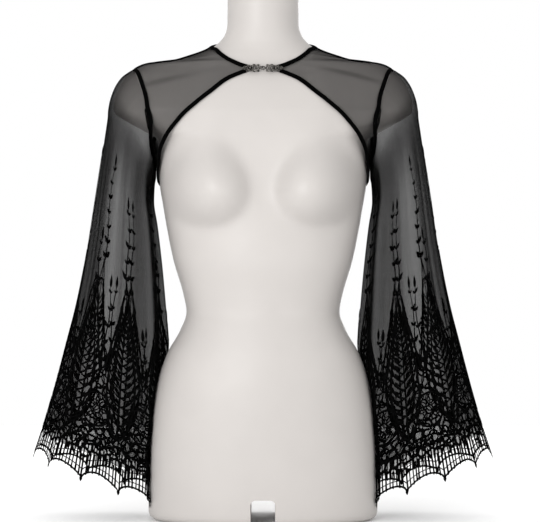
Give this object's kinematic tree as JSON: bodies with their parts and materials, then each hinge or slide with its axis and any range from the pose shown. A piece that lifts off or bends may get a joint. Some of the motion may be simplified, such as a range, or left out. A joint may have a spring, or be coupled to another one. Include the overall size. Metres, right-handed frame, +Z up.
{
  "type": "bolero jacket on a torso display form",
  "caption": "Sheer mesh bolero with bell sleeves, lace borders and an openwork hem, fastened by a small clasp at the throat, on a plain torso form.",
  "frame": {"origin": "on the floor under the middle of the part's bounding box, where the torso form stands", "axes": "+X towards the wearer's left sleeve, -Y out of the fronts, +Z up"},
  "size_m": [0.6698, 0.244, 0.776],
  "materials": {
    "mesh": "fine sheer black net",
    "lace": "dense matt black thread",
    "ribbon": "short-piled black ribbon",
    "silver": "dark antique silver",
    "shell": "smooth satin off-white"
  },
  "bodies": {
    "root": {"display_torso": "shell", "front_left": "mesh", "front_right": "mesh", "back": "mesh", "neck_binding": "ribbon", "hem_binding": "ribbon", "sleeve_left": "mesh", "openwork_left_front": "lace", "openwork_left_back": "lace", "armhole_tape_left": "ribbon", "sleeve_right": "mesh", "openwork_right_front": "lace", "openwork_right_back": "lace", "armhole_tape_right": "ribbon", "clasp_eye": "silver", "clasp_hook": "silver"}
  },
  "joints": []
}
